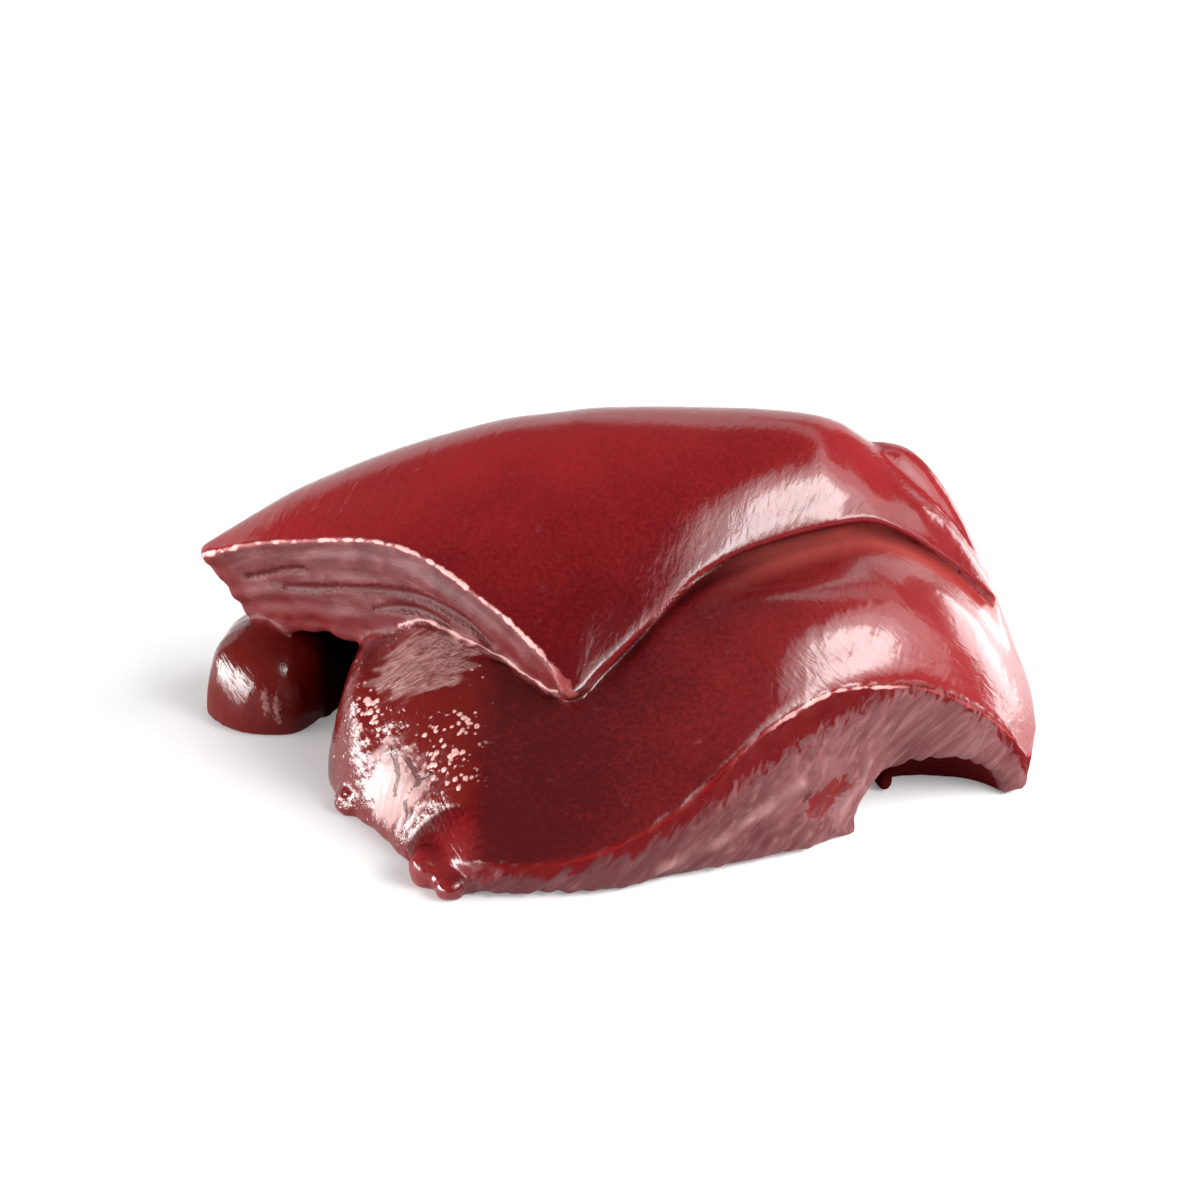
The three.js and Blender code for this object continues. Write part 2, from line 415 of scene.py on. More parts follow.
veil = patch("veil") * film_lobe
taut = patch("taut film") * film_lobe
frayed = ease(z, 19, 30)  # the upper part of the taut film is torn into flakes
glint_crowding = np.maximum(patch("specks beside it"), patch("specks above it"))
opened = patch("opened vessel")
vessel = patch("red of the vessel") * opened
torn = patch("torn flesh") * opened
slab_cut = np.maximum(slab_cut, opened)
cut = np.maximum(slab_cut, flap_cut)
print("patches:", [int((mask > 0.5).sum()) for mask in (veil, taut, vessel, torn)])

# %% Painted shade and dull places
HOLLOW_CENTRE, HOLLOW_RADII = [111, 74, 0], [33, 26, 20]  # under the slab's right end
HOLLOW_EDGE = (1.04, 1.12)

# Painted shade inside the hollow and between the lobes, through the shade mask.
hollow = 1 - ease(np.linalg.norm((points - HOLLOW_CENTRE) / HOLLOW_RADII, axis=1), *HOLLOW_EDGE)
hollow *= 1 - 0.8 * slab_cut
between_lobes = patch("between the lobes") * (1 - flap_cut) * slab
# Beside the film, its skin is wrapped dull round the slab's left end.
wrapped = (1 - film_lobe) * slab * (1 - ease(x, -54, -44)) * ease(z, 4, 9)
wrapped *= span(y, (16, 24), (40, 50))
print("dark places:", [int((mask > 0.5).sum()) for mask in (hollow, between_lobes, wrapped)])

# %% Lines, in the same millimetres as the edges
FAR = 6  # millimetres from a line, where it is no longer measured
LINES = {
    "flap crevices": [
        [[-139, 151, 57], [-135, 149.1, 58.5], [-122, 140.1, 65.5], [-116, 136, 67]],
        [[-124, 143, 56.5], [-108.6, 133.5, 61.2], [-95, 124.3, 65.4], [-79.7, 113.9, 68.6],
         [-64.8, 103.3, 68], [-53.8, 95.5, 64.1], [-46.5, 90.7, 58.5]],
        [[-90, 121, 58], [-80, 114.5, 62], [-70, 107.5, 63], [-62, 102, 61]],
    ],
    "cut veins": [
        [[13.4, 19.2, 7.7], [27.3, 24.6, 11], [36.7, 28.6, 15.1], [45.5, 33.1, 19.7],
         [53.6, 37.7, 23.1], [62.4, 43.2, 28.1]],
        [[87.7, 63, 25.9], [84.1, 59.7, 18.4], [79.3, 53.8, 13.6], [76.7, 50.8, 9.2]],
    ],
    "film cracks": [
        [[-80.6, 66.8, 29.5], [-78.5, 57.9, 23.8], [-79.5, 54.1, 18.3]],
        [[-65.9, 47.5, 29.3], [-71.3, 48.7, 24.3], [-75.3, 47.7, 18.1], [-73.7, 42.2, 14.7]],
        [[-74.9, 59, 29.2], [-69.9, 48.6, 26]],
    ],
    "lobe creases": [
        [[-133, 132.6, 20], [-132.5, 132.3, 14], [-132, 132.4, 9]],
        [[-129.5, 132.3, 26], [-128.6, 132, 17], [-128, 132.2, 7]],
    ],
}


def gap_to(name):
    """How far each point is from the nearest line of that name."""
    return np.minimum.reduce([Line(line).measure(points, FAR)[0] for line in LINES[name]])


CREVICE_WIDE, VEIN_WIDE = 1.4, 2.2  # millimetres

crevice_gap, vein_gap = gap_to("flap crevices"), gap_to("cut veins")
crack_gap, crease_gap = gap_to("film cracks"), gap_to("lobe creases")
crevices = fade(crevice_gap, CREVICE_WIDE) * flap_cut
veins = fade(vein_gap, VEIN_WIDE) * np.clip(0.7 + 0.6 * lumps(points, 5, 23), 0, 1) * slab_cut
print("lines:", sum(len(lines) for lines in LINES.values()))

# %% [markdown]
# ## The rims
#
# Where a knife passes through the skin, the skin shrinks back in a row of small beads, and the
# flesh under it bulges in a lip. The thin edge of the flap at the right is rolled, and tucks the
# slab's skin in. A curve with a bevel could be laid on each rim, but beads of the same mesh grow
# out of the skin with no seam, so here they are masks along the edges.

# %% Beads along the rims
ROUNDED_OFF = 1.0  # how far the smoothing took the rims away from their lines
TUCK_REACH = 18  # millimetres from the margin

flap_rim_gap, flap_rim_along, from_flap_rim = Line(FLAP_RIM).measure(points, FAR)
slab_rim_gap, slab_rim_along, from_slab_rim = Line(SLAB_RIM).measure(points, FAR)
hem_gap, hem_along, from_hem = Line(HEM).measure(points, FAR)
margin_gap = Line(FLAP_MARGIN).measure(points, TUCK_REACH)[0]


def ridge(gap, thick):
    """1 on a line, falling over about thick millimetres."""
    return fade(np.maximum(gap - ROUNDED_OFF, 0), thick)


def beads(gap, along, length, thick, seed):
    """A row of uneven beads on a line, from 0 to 1."""
    place = np.column_stack([along, np.zeros(count), np.zeros(count)])
    uneven = 0.75 + 0.6 * lumps(place, length, seed) + 0.35 * lumps(place, length / 3, seed + 1)
    return ridge(gap, thick) * np.clip(uneven, 0, 1)


flap_beads = beads(flap_rim_gap, flap_rim_along, length=4.5, thick=1.2, seed=1)
slab_beads = beads(slab_rim_gap, slab_rim_along, length=2.6, thick=0.6, seed=3) * ease(x, 30, 70)
hem = beads(hem_gap, hem_along, length=4.0, thick=0.6, seed=5)  # the lower edge of the flap
rolled = ridge(margin_gap, 1.4) * flap * ease(x, -14, 0)
tucked = fade(margin_gap, 4.5) * slab * span(x, (-12, 10), (85, 145))
beside_tuck = (1 - ease(margin_gap, 6, 11)) * slab * span(x, (-12, 10), (120, 145))
print("beads:", round(float(flap_beads.max()), 2), round(float(slab_beads.max()), 2))


# %% Which side of a rim each point is on
def over(way, gap, direction):
    """How far over a rim each point is, in millimetres, from skin below 0 to flesh above 0."""
    return np.where(gap < FAR, way @ np.array(direction), FAR)


flap_side = over(from_flap_rim, flap_rim_gap, (0, -0.55, -0.83))
slab_side = over(from_slab_rim, slab_rim_gap, (0, -0.45, -0.89))
hem_side = over(from_hem, hem_gap, (0, -0.55, 0.83))
print("points by the flap's rim:", int((flap_rim_gap < FAR).sum()))

# %% The lip under the slab's rim, and how deep its red band goes
BAND_DEPTH = [[-60, 5], [-30, 4.5], [0, 5], [20, 8], [45, 11], [62, 12], [80, 9.5], [92, 4],
              [108, 1], [128, 1], [142, 5], [152, 10]]  # x, millimetres
band = cubic(x, BAND_DEPTH)[:, 0] - slab_depth
lip = ease(slab_depth, -1, 2) * (1 - ease(slab_depth + 1.5 * lumps(points, 5, 9), 4, 9))
lip *= slab_cut * span(x, (-60, -20), (85, 105))
print("lip over", int((lip > 0.5).sum()), "points")

# %% [markdown]
# ## Relief
#
# The cut flesh has fibres that run one way, with veins and crevices between them. The film on the
# left lobe is crumpled, and the rest of the skin swells softly. Displace modifiers can't follow
# such edges, so the points are moved along their normals in code, by the sum of all the forms.


# %% The grain of the flesh
def drawn_out(angle, sizes, seed):
    """Lumps that are drawn out along a slant in the plane of the picture."""
    angle = np.radians(angle)
    along = x * np.cos(angle) + z * np.sin(angle)
    across = z * np.cos(angle) - x * np.sin(angle)
    return lumps(np.column_stack([along, across, y]), sizes, seed)


SLAB_FLOW, FILM_FLOW = 46, 25  # degrees up, to the right
slab_fibres = drawn_out(SLAB_FLOW, (12, 2.6, 9), 5)
flap_fibres = lumps(np.column_stack([x, flap_depth, y]), (14, 5, 40), 7)
wrinkles = 0.5 - np.abs(drawn_out(FILM_FLOW, (6, 3, 5), 14)) * 1.8
ragged_foot = flap_cut * (1 - ease(flap_height, 4, 13))
# The foot of the flap's cut is a darker warm red, partly painted shade.
red_foot = flap_cut * (1 - ease(flap_height + 4 * lumps(points, 7, 25), 6, 24))
print("points of the ragged foot:", int((ragged_foot > 0.5).sum()))

# %% Every form and its height
HUMP, HUMP_REACH = [109, 147, 87], 9  # at the flap's right end, in millimetres
uncut, loose_film = 1 - cut, film_lobe * (1 - taut)
FORMS = [
    # Each has its height in millimetres and its form. First the skin,
    (0.4, uncut * lumps(points, 24, 11)), (0.1, uncut * lumps(points, (14, 10, 10), 12)),
    # the rims and the fold,
    (0.5, flap_beads), (0.18, slab_beads), (0.2, hem), (0.25, rolled), (-2.2, tucked),
    # the slab's cut,
    (0.8, slab_cut * slab_fibres), (0.9, slab_cut * lumps(points, 9, 17)),
    (0.2, slab_cut * lumps(points, 3, 13)), (0.8, lip), (1.6, veins),
    (-0.7, vessel), (-0.9, torn),
    # the flap's cut and its small hump,
    (0.7, flap_cut * flap_fibres), (0.5, flap_cut * lumps(points, 7, 18)),
    (0.15, flap_cut * lumps(points, 3, 13)), (-1.3, crevices),
    (1.5, ragged_foot * lumps(points, 5, 19)),
    (1.5, flap * fade(np.linalg.norm(points - HUMP, axis=1), HUMP_REACH)),
    # the film and the small lobes.
    (0.3, film_lobe), (0.15, loose_film * wrinkles), (0.2, loose_film * lumps(points, 5, 20)),
    (0.5, small_lobe * fade(crease_gap, CREVICE_WIDE)),
    (0.35, small_lobe * lumps(points, 9, 16)), (0.12, small_lobe * lumps(points, (3, 3, 14), 24)),
]
relief = sum(height * form for height, form in FORMS)
print("relief from", round(float(relief.min()), 2), "to", round(float(relief.max()), 2), "mm")

# %% Move the points
VESSEL_FILLED = 0.75  # how much of the pit of the opened vessel is filled up

moved = points - MIDDLE + normals * relief[:, None]
moved[:, 1] += VESSEL_FILLED * opened * np.minimum(slab_out, 0)
moved = np.clip(moved * MM, np.array(cad_box[0]), np.array(cad_box[1]))
mesh.vertices.foreach_set("co", moved.ravel())
mesh.update()
print("moved:", len(moved), "points")

# %% [markdown]
# ## Marks for the shader
#
# The finish has to know where the cuts, the film and the rims are. An image texture would need
# its own unwrapping and would blur the lines. So the masks stay on the mesh as attributes, which
# the shader reads by name, and the distances from the lines too, so that a line can be thinner
# than a face.

# %% Keep the marks on the mesh
MARK_UNIT = 10  # a length is kept in tens of millimetres

MASKS = {
    "cut": cut, "flap_cut": flap_cut, "foot": red_foot,
    "flap": flap, "painted_light_shade": painted_light_and_shade, "film": film_lobe, "veil": veil, "taut": taut,
    "frayed": frayed, "glint_crowding": glint_crowding, "lobes": small_lobe,
    "torn": torn, "vessel": vessel, "pale": veins, "rolled": rolled,
    "hem_pale": span(x, (-84, -76), (-22, -16)),
    "slab_red": ease(x, -40, -10) * (0.35 + 0.65 * ease(x, 30, 60)),
    # where the slab's rim gets a painted highlight from the lights
    "slab_glint_span": span(x, (48, 58), (142, 150)) * (1 - 0.9 * ease(x, 90, 104)),
    # painted brown sheen on the slab just under the flap's margin
    "brown_sheen": (1 - ease(margin_gap, 7, 18)) * slab * ease(x, 25, 60) * (1 - 0.7 * ease(x, 95, 135)),
    "shade": np.maximum.reduce([0.8 * between_lobes, 0.8 * tucked, 0.75 * hollow]),
    "dull": np.maximum.reduce([
        between_lobes, beside_tuck, 0.95 * wrapped, hollow, 0.7 * rolled,
        0.6 * small_lobe * (1 - ease(z, 12, 26)),
    ]),
}
LENGTHS = {
    "band": np.clip(band, -20, 20),
    "depth": np.clip(flap_depth, -5, 60),
    "flap_side": flap_side, "slab_side": slab_side, "hem_side": hem_side,
    "rim_gap": np.minimum.reduce([flap_rim_gap, slab_rim_gap, hem_gap]),
    "crevice_gap": np.where(flap_cut > 0.3, crevice_gap, FAR),
    "crack_gap": np.where(film_lobe > 0.5, crack_gap, FAR),
    "crease_gap": np.where(small_lobe > 0.5, crease_gap, FAR),
}
for name, values in (MASKS | {name: mm / MARK_UNIT for name, mm in LENGTHS.items()}).items():
    attribute = mesh.attributes.new(name, "FLOAT", "POINT")
    attribute.data.foreach_set("value", np.asarray(values, np.float32))
print("marks:", len(MASKS), "masks and", len(LENGTHS), "lengths")

# %% [markdown]
# ## Thin the mesh
#
# The even millimetre mesh has more faces than a piece should have, most of them on the plain
# back and underside. Decimate joins faces where the surface is nearly flat and keeps them where
# the relief is. The attributes are carried along.

# %% Fewer faces
MOST_TRIANGLES = 190_000

mesh.calc_loop_triangles()
share = MOST_TRIANGLES / len(mesh.loop_triangles)
apply_modifier(meat, "DECIMATE", ratio=min(share, 1))
work_on(meat)
bpy.ops.object.shade_smooth()
mesh.calc_loop_triangles()
print("triangles:", len(mesh.loop_triangles))

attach(meat, "root")
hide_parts("liver")

# %% [markdown]
# ## Shader maths
#
# A finish is a sum of patterns. Written as Python expressions, such a sum can be read, where a
# board of Math nodes can't. So one class stands for a socket and turns each operator into its
# node, and one method makes any other node.

# %% Sockets that can be added and multiplied
class Wire:
    """A socket of a node, with the operators that make Math nodes."""

    def __init__(self, bench, socket):
        self.bench, self.socket = bench, socket

    def _math(self, operation, first, second):
        return self.bench.node("ShaderNodeMath", {"operation": operation}, {0: first, 1: second})

    def __add__(self, other):
        return self._math("ADD", self, other)

    def __radd__(self, other):
        return self._math("ADD", other, self)

    def __sub__(self, other):
        return self._math("SUBTRACT", self, other)

    def __rsub__(self, other):
        return self._math("SUBTRACT", other, self)

    def __mul__(self, other):
        return self._math("MULTIPLY", self, other)

    def __rmul__(self, other):
        return self._math("MULTIPLY", other, self)

    def __abs__(self):
        return self._math("ABSOLUTE", self, 0.0)


class Bench:
    """The nodes of one material."""

    def __init__(self, name):
        self.material = bpy.data.materials.new(name)
        self.material.use_nodes = True
        self.tree = self.material.node_tree
        self.tree.nodes.clear()
        self.place = self.node("ShaderNodeTexCoord", output="Object")

    def node(self, kind, settings=None, values=None, output=0):
        node = self.tree.nodes.new(kind)
        for name, value in (settings or {}).items():
            setattr(node, name, value)
        for name, value in (values or {}).items():
            if isinstance(value, Wire):
                self.tree.links.new(value.socket, node.inputs[name])
            else:
                node.inputs[name].default_value = value
        return Wire(self, node.outputs[output]) if node.outputs else node

    def step(self, value, low, high):
        """0 up to low, 1 from high, and a smooth step between them."""
        return self.node(
            "ShaderNodeMapRange",
            {"interpolation_type": "SMOOTHSTEP"},
            {"Value": value, "From Min": low, "From Max": high},
        )

    def mix(self, share, one, other):
        """A colour between two others."""
        # On a colour Mix node, the sockets 6 and 7 are A and B, and the output 2 is the colour.
        values = {0: share, 6: one, 7: other}
        return self.node("ShaderNodeMix", {"data_type": "RGBA"}, values, output=2)

    def coats(self, base, *coats):
        """A colour under coats of paint, each a share and a colour."""
        for share, tint in coats:
            base = self.mix(share, base, tint)
        return base

    def mark(self, name):
        """A mask kept on the mesh."""
        return self.node("ShaderNodeAttribute", {"attribute_name": name}, output="Fac")

    def length(self, name):
        """A length kept on the mesh, in millimetres."""
        return self.mark(name) * MARK_UNIT

    def scaled(self, sizes, where):
        """Places in which 1 is as long as sizes, in millimetres."""
        sizes = tuple(size * MM for size in np.broadcast_to(sizes, 3).tolist())
        values = {0: where or self.place, 1: sizes}
        return self.node("ShaderNodeVectorMath", {"operation": "DIVIDE"}, values)

    def noise(self, sizes, detail=2.0, where=None, wavy=0.0):
        """Cloudy noise around 0.5, with clouds of about those millimetres."""
        values = {"Vector": self.scaled(sizes, where), "Scale": 1.0}
        values |= {"Detail": detail, "Distortion": wavy}
        return self.node("ShaderNodeTexNoise", {}, values)

    def cells(self, sizes, where=None):
        """How far, in cells of about those millimetres, to the middle of a cell."""
        values = {"Vector": self.scaled(sizes, where), "Scale": 1.0}
        return self.node("ShaderNodeTexVoronoi", {}, values)

    def turned(self, axis, angle):
        """Places turned about an axis, so that a noise can be drawn out along a slant."""
        values = {"Vector": self.place, "Angle": float(np.radians(angle))}
        return self.node("ShaderNodeVectorRotate", {"rotation_type": axis + "_AXIS"}, values)

    def finish(self, shader):
        self.node("ShaderNodeOutputMaterial", {}, {"Surface": shader})
        return self.material


def colour(red, green, blue):
    """A colour as a picture shows it, from 0 to 255, for a shader."""
    shown = np.array([red, green, blue]) / 255
    light = np.where(shown <= 0.04045, shown / 12.92, ((shown + 0.055) / 1.055) ** 2.4)
    return (*light.tolist(), 1.0)


print("middle grey for a shader:", round(colour(128, 128, 128)[0], 3))

# %% [markdown]
# ## The skin
#
# The skin is a dark brown red with a fine mottle, where small vessels show through it. Food
# quickly looks like plastic in one even colour, and too orange in a lighter one. So each region
# mixes a dark and a lighter deep red by a noise of large clouds and fine grain and by painted
# light and shade, and where the slab goes under the flap, a brown painted sheen shows.

# %% Colours of the skin
SKIN_DARK = colour(76, 2, 6)
SKIN_RED = colour(124, 23, 26)
SLAB_DARK = colour(66, 8, 10)
SLAB_RED = colour(120, 28, 30)
LOBE_RED = colour(80, 12, 8)
FILM_RED = colour(90, 14, 11)
# A painted brown sheen on the slab just under the flap's margin.
SHEEN_BROWN = colour(150, 66, 60)
# A painted pink highlight along the flap's rolled margin.
PAINTED_ROLLED_HIGHLIGHT = colour(112, 26, 30)
print("the skin goes from", [round(c, 3) for c in SKIN_DARK[:3]],
      "to", [round(c, 3) for c in SKIN_RED[:3]])

# %% Paint the skin
finish = Bench("liver_meat")
mottle = finish.noise(1.6, 3)
clouds = finish.noise(26, 3)
grain = finish.noise(0.8, 2)
# The mottle and clouds are the skin's own tone; the mark adds painted light and shade.
painted_light_and_mottle = finish.mark("painted_light_shade") + (mottle - 0.5) * 0.9 + (clouds - 0.5) * 0.6
on_flap = finish.mark("flap")

flap_skin = finish.mix(painted_light_and_mottle, SKIN_DARK, SKIN_RED)
slab_skin = finish.mix(painted_light_and_mottle, SLAB_DARK, SLAB_RED)
skin = finish.coats(
    finish.mix(on_flap, slab_skin, flap_skin),
    (finish.mark("lobes"), LOBE_RED),
    (finish.mark("film"), FILM_RED),
    # painted brown sheen under the flap's margin
    (finish.mark("brown_sheen") * 0.75, SHEEN_BROWN),
    # painted pink highlight along the rolled margin
    (finish.mark("rolled") * 0.7, PAINTED_ROLLED_HIGHLIGHT),
)
print("nodes so far:", len(finish.tree.nodes))

# %% [markdown]
# ## The crumpled film
#
# On the left lobe a thin pale film lies over the red, crumpled and partly torn: a scratched veil
# at the top, drops in the middle, and a taut, cracked piece below. Modelling it as a sheet would
# need folds thinner than a millimetre. It is painted instead, with noise drawn out along the
# creases for the veil, and the cells of a Voronoi texture for the drops. The pale of the veil and
# the taut piece is partly painted sheen, each drop gets a painted glint, and the creases of the
# small lobe get painted highlight streaks.

# %% Colours of the film
# Pale film with painted sheen on it.
FILM_PALE_AND_SHEEN = colour(152, 112, 107)
TAUT_PALE_AND_SHEEN = colour(172, 134, 131)
# A painted glint on each drop of the film.
PAINTED_GLINT = colour(206, 160, 154)
CREVICE = colour(72, 12, 15)
FILM_SLANT, SCRATCH_SLANT = 30, 38  # degrees
print("the film is", [round(c, 3) for c in FILM_PALE_AND_SHEEN[:3]])

# %% Veil, painted glints and cracks
slanted = finish.turned("Y", FILM_SLANT)
creases = finish.noise((5, 1.5, 1.5), 4, slanted, 0.8)
scratches = finish.noise((5, 0.9, 0.9), 3, finish.turned("Y", SCRATCH_SLANT), 0.3)
flakes = finish.step(finish.noise((3.4, 2.4, 2.4), 3), 0.46, 0.54)
clumps = finish.noise(7, 2)
net = finish.step(creases, 0.3, 0.66) * 0.45 + finish.step(scratches, 0.4, 0.62) * 0.35
on_veil, on_taut = finish.mark("veil"), finish.mark("taut")
crumpled = finish.mark("film") * (1 - on_taut) * (1 - on_veil)

drops = finish.cells((3.0, 3.0, 2.2), slanted) + (mottle - 0.5) * 0.7
crowded = (clumps - 0.66 + finish.mark("glint_crowding") * 0.25) * 1.2
# Painted glints: a pale dot on each drop, crowded in clumps.
painted_glints = 1 - finish.step(drops - crowded, 0.14, 0.3)
domes = 1 - finish.step(drops, 0.05, 0.42)
veiled = finish.step(on_veil + (clumps - 0.5) * 1.2 + (creases - 0.5) * 0.6, 0.2, 1.1)
unbroken = 1 - finish.mark("frayed") * flakes * 0.85
crack = 1 - finish.step(finish.length("crack_gap") + (creases - 0.5) * 3.0, 0.8, 1.4)
# Painted highlight streaks along the creases of the small lobe.
painted_lobe_glint = 1 - finish.step(finish.length("crease_gap") + (mottle - 0.5) * 5.0, 0.3, 1.6)

# The veil and the taut film are pale with painted sheen; glints and lobe streaks are painted.
skin = finish.coats(
    skin,
    (veiled * (0.2 + net), FILM_PALE_AND_SHEEN),
    (on_taut * (0.45 + 0.5 * creases) * unbroken, TAUT_PALE_AND_SHEEN),
    (crumpled * painted_glints * 0.85, PAINTED_GLINT),
    (crack, CREVICE),
    (painted_lobe_glint * 0.5, FILM_PALE_AND_SHEEN),
)
print("nodes so far:", len(finish.tree.nodes))

# %% [markdown]
# ## The cut flesh
#
# Cut flesh is paler and greyer than the skin, streaked along its fibres, and painted light makes
# the slab's flesh paler towards its right end. A deep red band lies under the slab's rim, one
# opened vessel has bled, and the foot of the flap's cut is a darker warm red, partly painted
# shade, as is a halo beside each crevice. Long thin noises give the strands. On the flap they have
# to follow the curved rim, so there the noise reads the depth below the rim in place of the
# height.

# %% Colours of the flesh
FLESH_RED = colour(80, 32, 35)
FLESH_GREY = colour(110, 62, 64)
# A warm dark red, partly painted shade at the foot of the flap's cut and beside the crevices.
WARM_RED_AND_SHADE = colour(92, 20, 19)
FLESH_BRUISED = colour(76, 22, 26)
STRAND_PALE = colour(150, 108, 105)
BAND_RED = colour(88, 4, 7)
VESSEL_RED = colour(100, 12, 14)
STRAND_SLANT, PATCH_SLANT, HAIR_SLANT, VESSEL_SLANT = 42, 45, 54, 30  # degrees
print("the flesh goes from", [round(c, 3) for c in FLESH_RED[:3]],
      "to", [round(c, 3) for c in FLESH_GREY[:3]])

# %% Strands of the flesh
cut_share = finish.mark("cut")
flap_share = finish.mark("flap_cut")
slab_share = 1 - flap_share
sideways = finish.node("ShaderNodeSeparateXYZ", {}, {0: finish.place}, output="X")
along_rim = finish.node(
    "ShaderNodeCombineXYZ", {}, {"X": sideways, "Y": finish.length("depth") * MM, "Z": 0.0}
)
slab_strands = finish.noise((30, 2.4, 2.4), 3, finish.turned("Y", STRAND_SLANT), 0.5)
flap_strands = finish.noise((16, 4, 4), 3, along_rim, 0.15)
strands = slab_strands * slab_share + flap_strands * flap_share
patches = finish.noise((26, 10, 10), 2, finish.turned("Y", PATCH_SLANT))
hairs = finish.noise((9, 1.3, 3), 2, finish.turned("Y", HAIR_SLANT), 0.3)
# Painted light makes the slab's flesh paler towards its right end; the flap's is shifted darker.
painted_light_shift = (finish.mark("painted_light_shade") - 0.6) * 0.22 * slab_share - 0.08 * flap_share
greyed = finish.step(strands * 0.52 + patches * 0.48 + painted_light_shift, 0.28, 0.66)
pale_strands = finish.step(strands + painted_light_shift * 0.6, 0.53, 0.75)
print("nodes so far:", len(finish.tree.nodes))

# %% Bruises, the red band, the vessel and the crevices
bruises = finish.step(finish.noise((11, 7, 7), 3), 0.5, 0.66) * flap_share
ragged = (hairs - 0.5) * 22.0 + (slab_strands - 0.5) * 8.0  # millimetres
red_band = finish.step(finish.length("band") + ragged, -4.0, 2.8) * slab_share
by_vessel = finish.mark("vessel")
streaked = (finish.noise((6, 1.6, 3), 3, finish.turned("Y", VESSEL_SLANT), 0.4) - 0.5) * 3.6
red_patch = finish.step(by_vessel * 0.9 + streaked, 0.25, 0.6) * finish.step(by_vessel, 0.0, 0.3)
beside_crevice = finish.length("crevice_gap") + (patches - 0.5) * 5 + (mottle - 0.5) * 4
crevice = 1 - finish.step(beside_crevice, 1.1, 2.8)
by_torn = finish.mark("torn")
bits = finish.step(by_torn + (finish.noise(2.2, 2) - 0.5) * 2.4, 0.75, 0.95) * by_torn

# The warm red at the foot and beside the crevices is partly painted shade.
flesh = finish.coats(
    finish.mix(greyed, FLESH_RED, FLESH_GREY),
    (pale_strands * 0.28, STRAND_PALE),
    (finish.mark("pale") * (0.2 + 1.0 * hairs), STRAND_PALE),
    (bruises * 0.65, FLESH_BRUISED),
    (finish.mark("foot") * 0.9, WARM_RED_AND_SHADE),
    (red_band, BAND_RED),
    (red_patch, VESSEL_RED),
    ((1 - finish.step(beside_crevice, 0.5, 6.0)) * 0.5, WARM_RED_AND_SHADE),
    (crevice * 0.9 + bits * 0.9, CREVICE),
)
print("nodes so far:", len(finish.tree.nodes))

# %% [markdown]
# ## The lines of the rims
#
# The shrunken beads on the rims are pale, and painted highlights make them almost white. A pink
# painted sheen runs along the flap's rim, and a thin painted shadow lies under the flap's hem.
# These lines are thinner than the faces of the mesh, so painted vertices would blur them. The
# marks hold the distance from each rim, which changes evenly over a face, and the line is cut out
# of it in the shader.

# %% Colours of the rims
# Pale beads with a painted highlight, and a pink rim with painted sheen.
PALE_BEAD_AND_GLINT = colour(196, 146, 142)
RIM_RED = colour(140, 26, 26)
RIM_PINK_SHEEN = colour(150, 70, 70)
SHADE = colour(30, 7, 8)
print("the beads are", [round(c, 3) for c in PALE_BEAD_AND_GLINT[:3]])

# %% Paint the rims
lengths = finish.noise(4.2, 1)
by_rim = 1 - finish.step(finish.length("rim_gap"), 2.0, 3.0)


def on_rim(name, thick, over=0.0):
    """1 on the line that runs so many millimetres over the rim, with uneven thickness."""
    away = abs(finish.length(name) - over) - (lengths - 0.5) * thick * 1.6
    return by_rim * (1 - finish.step(away, thick / 2 - 0.3, thick / 2 + 0.2))


beaded = finish.step(lengths + 0.14 * finish.step(sideways, -0.13, -0.05), 0.47, 0.55)
flap_line = on_rim("flap_side", 1.1) * beaded * (1 - finish.step(sideways, -0.03, -0.018))
hem_ends = finish.step(finish.mark("hem_pale") + (lengths - 0.5), 0.4, 0.6)
hem_line = on_rim("hem_side", 0.5, over=0.4) * hem_ends
hem_shadow = on_rim("hem_side", 0.9, over=-0.6)
slab_line = on_rim("slab_side", 0.9)
# A painted highlight along the slab's rim, where the lights fall on it.
slab_rim_glint = slab_line * finish.mark("slab_glint_span") * finish.step(lengths, 0.3, 0.5)

tone = finish.coats(
    finish.mix(cut_share, skin, flesh),
    (hem_shadow * 0.8, CREVICE),
    (slab_line * finish.mark("slab_red") * 0.8, RIM_RED),
    (on_rim("flap_side", 1.4) * 0.6, RIM_PINK_SHEEN),
    # pale beads with painted highlights on the rims
    (flap_line + hem_line + slab_rim_glint, PALE_BEAD_AND_GLINT),
    (finish.mark("shade"), SHADE),
)
print("colour nodes:", len(finish.tree.nodes))

# %% [markdown]
# ## Gloss and fine relief
#
# The highlights of wet liver are streaked, because the skin is drawn into fine folds, which run
# one way on the flap and another on the slab. They are too fine for the mesh, so a Bump node makes
# them. It also makes one broad swelling of the slab, which bends the highlight in front of the
# fold. Skin under water and dry, torn flesh shine so differently that there are two Principled
# shaders, a wet and a dry one, mixed by the marks.

# %% Bumps, in millimetres
SWELLING_PLACE, SWELLING_REACH = (0.052, -0.0221, 0.082), 0.045  # metres
SWELLING_HEIGHT = 7.5

flap_folds = finish.noise((2, 6, 6), 3, finish.turned("Z", 30), 1.0) * on_flap * 0.9
slab_folds = finish.noise((9, 9, 1.8), 3, finish.turned("Y", -43), 0.8) * (1 - on_flap) * 1.4
slab_folds = slab_folds * (1 - on_taut * 0.7)
lobe_folds = finish.noise((1.6, 1.6, 9), 3, finish.place, 0.5) * finish.mark("lobes")
broad_folds = finish.noise((6, 18, 18), 2, finish.turned("Z", 20), 0.5)
folds = (flap_folds + slab_folds + lobe_folds) * 0.12 + broad_folds * 0.25

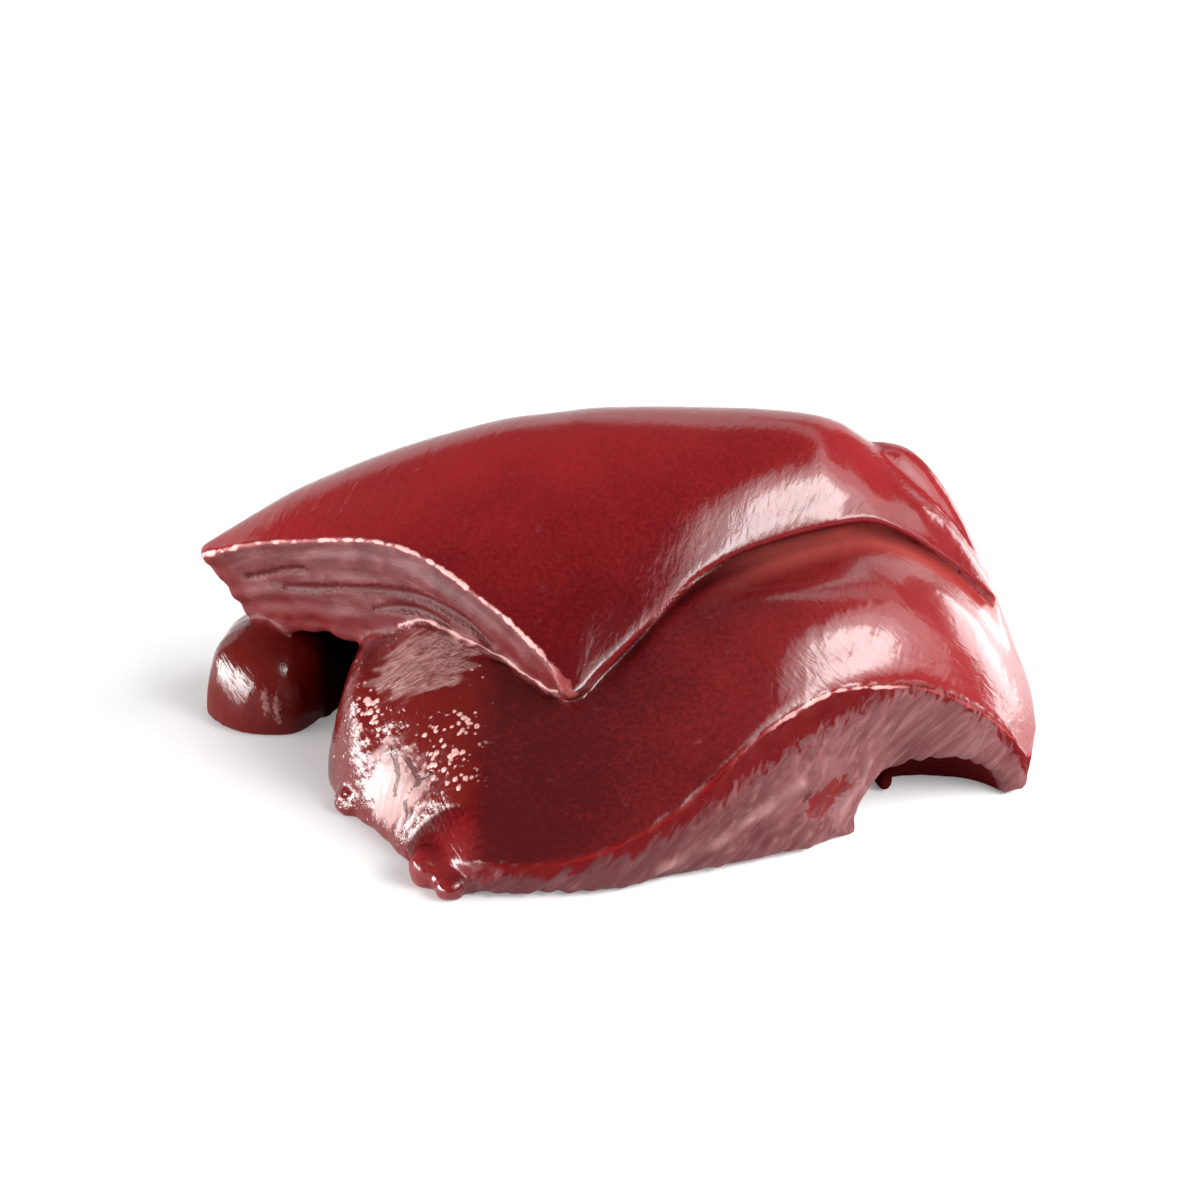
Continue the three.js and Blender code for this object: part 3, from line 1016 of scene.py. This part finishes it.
film_wrinkles = crumpled * (domes * 0.25 + creases * 0.2) - crack * 0.15 + on_veil * net * 0.4
cut_wrinkles = cut_share * (strands * 0.2 + grain * 0.08 + mottle * 0.1) - crevice * 0.2
line_relief = (flap_line + hem_line - hem_shadow) * 0.18

away = finish.node(
    "ShaderNodeVectorMath",
    {"operation": "DISTANCE"},
    {0: finish.place, 1: SWELLING_PLACE},
    output="Value",
)
swelling = (1 - finish.step(away, 0.0, SWELLING_REACH)) * (1 - on_flap) * SWELLING_HEIGHT
bumps = (folds + swelling) * (1 - cut_share)
bumps = bumps + grain * 0.015 + film_wrinkles + cut_wrinkles + line_relief
relief_normal = finish.node(
    "ShaderNodeBump", {}, {"Strength": 1.0, "Distance": MM, "Height": bumps}
)
print("nodes so far:", len(finish.tree.nodes))

# %% Wet and dry
WET_ROUGHNESS, CUT_ROUGHNESS = 0.16, 0.5
DRY_ROUGHNESS = 0.9
WET_IOR = 1.5

wetness = WET_ROUGHNESS + (CUT_ROUGHNESS - WET_ROUGHNESS) * cut_share
wetness = wetness + 0.16 * on_taut + 0.08 * (mottle - 0.5)
wet = finish.node(
    "ShaderNodeBsdfPrincipled",
    {},
    {"Base Color": tone, "Roughness": wetness, "IOR": WET_IOR, "Normal": relief_normal},
)
dry = finish.node(
    "ShaderNodeBsdfPrincipled",
    {},
    {
        "Base Color": tone,
        "Roughness": DRY_ROUGHNESS,
        "Specular IOR Level": 0.0,
        "Normal": relief_normal,
    },
)
dull = finish.mark("dull")
dryness = dull + cut_share * (0.5 + 0.3 * red_band) * (1 - dull)
shader = finish.node("ShaderNodeMixShader", {}, {0: dryness, 1: wet, 2: dry})
mesh.materials.clear()
mesh.materials.append(finish.finish(shader))
print("nodes:", len(finish.tree.nodes))

# %% [markdown]
# ## Table and light
#
# The photograph has a white table that is nearly burnt out, so that only the contact shadow
# shows. Two wide soft lights give the long highlights: a high one at the right and a low one at
# the left. Straight above it is dark, which is what keeps the skin deep red.

# %% Table
TABLE_SIZE = 12  # metres, so that its edge is out of sight
TABLE_WHITE = (0.84, 0.84, 0.84, 1)
TABLE_GLOW = 0.2
WHITE = (1, 1, 1, 1)

bpy.ops.mesh.primitive_plane_add(size=TABLE_SIZE, location=(0, 0, 0))
table = bpy.context.object
table.name = "table"
paint = Bench("white_table")
white = paint.node(
    "ShaderNodeBsdfPrincipled",
    {},
    {
        "Base Color": TABLE_WHITE,
        "Roughness": 0.8,
        "Emission Color": WHITE,
        "Emission Strength": TABLE_GLOW,
    },
)
table.data.materials.append(paint.finish(white))
print("table", table.name)

# %% Lights
AIMED_AT = Vector((0, 0, 0.05))


def soft_light(name, azimuth, height, away, size, radiance, mirrored=True):
    """A soft box at an azimuth clockwise from behind and a height in degrees, turned to the meat.
    One that isn't mirrored lights the meat without a highlight."""
    azimuth, height = np.radians(azimuth), np.radians(height)
    level, up = np.cos(height), np.sin(height)
    place = away * Vector((np.sin(azimuth) * level, np.cos(azimuth) * level, up))
    bpy.ops.object.light_add(type="AREA", location=place)
    light = bpy.context.object
    light.name = name
    light.data.shape = "RECTANGLE"
    light.data.size, light.data.size_y = size
    light.data.energy = radiance * np.pi * size[0] * size[1]
    light.rotation_euler = (AIMED_AT - place).to_track_quat("-Z", "Y").to_euler()
    light.visible_camera = False
    light.visible_glossy = mirrored
    print(name, "power", round(light.data.energy, 1), "W")


soft_light("right_softbox", 112, 38, 2.0, (3.4, 1.45), 2.4)
soft_light("right_middle", 114, 37, 1.95, (2.0, 0.9), 2.6)
soft_light("right_core", 118, 35, 1.9, (1.25, 0.38), 13.0)
soft_light("right_card", 56, 7.3, 0.47, (0.2, 0.12), 5.0)
soft_light("right_fill", 75, 22, 2.0, (1.2, 1.0), 9.0, mirrored=False)
soft_light("high_strip", 25, 42, 2.0, (2.0, 0.4), 1.0)
soft_light("left_softbox", -108, 6, 2.0, (2.5, 0.44), 28.0)
soft_light("back_panel", -15, 18, 2.3, (4.6, 1.4), 0.9)

# %% The room
ROOM_LIGHT = 0.15

world = bpy.data.worlds.new("studio")
bpy.context.scene.world = world
world.use_nodes = True
world.node_tree.nodes["Background"].inputs["Color"].default_value = WHITE
world.node_tree.nodes["Background"].inputs["Strength"].default_value = ROOM_LIGHT
bpy.context.scene.view_settings.view_transform = "Standard"
print("room light", ROOM_LIGHT)
